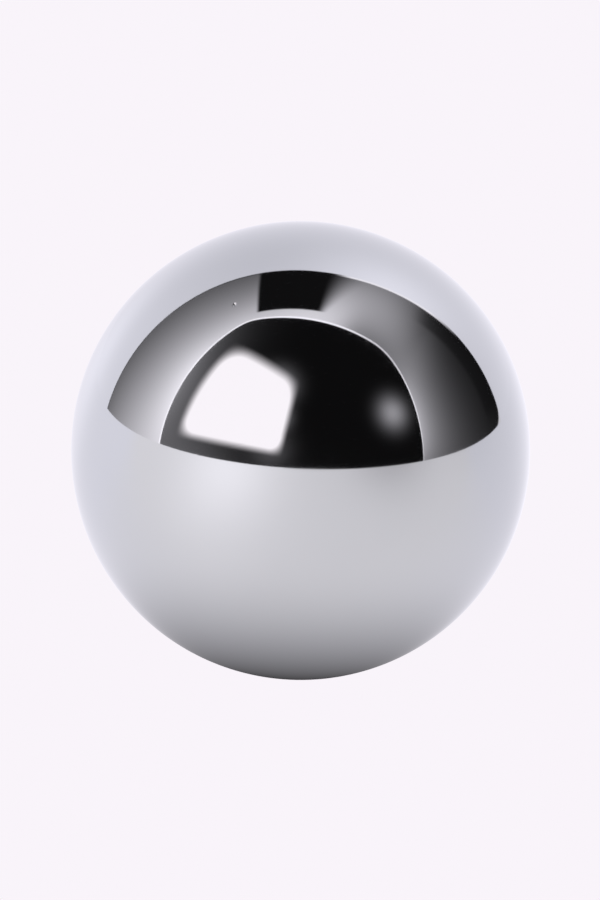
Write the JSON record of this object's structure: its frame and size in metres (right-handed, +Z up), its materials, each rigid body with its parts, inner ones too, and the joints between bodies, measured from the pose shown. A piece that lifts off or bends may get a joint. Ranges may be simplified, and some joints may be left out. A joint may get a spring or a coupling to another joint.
{
  "type": "steel ball",
  "caption": "Plain solid steel ball with a hardened, mirror-polished surface, that rolls, bears, locates or weights.",
  "frame": {"origin": "centre of the ball", "axes": "+Z up; the ball is the same about every axis through its centre, so X and Y are free"},
  "size_m": [0.0254, 0.0254, 0.0254],
  "materials": {
    "polished_steel": "bare through-hardened bearing steel, lapped and polished to a mirror, with faint random lapping lines and a trace of haze"
  },
  "bodies": {
    "root": {"steel_ball": "polished_steel"}
  },
  "joints": []
}
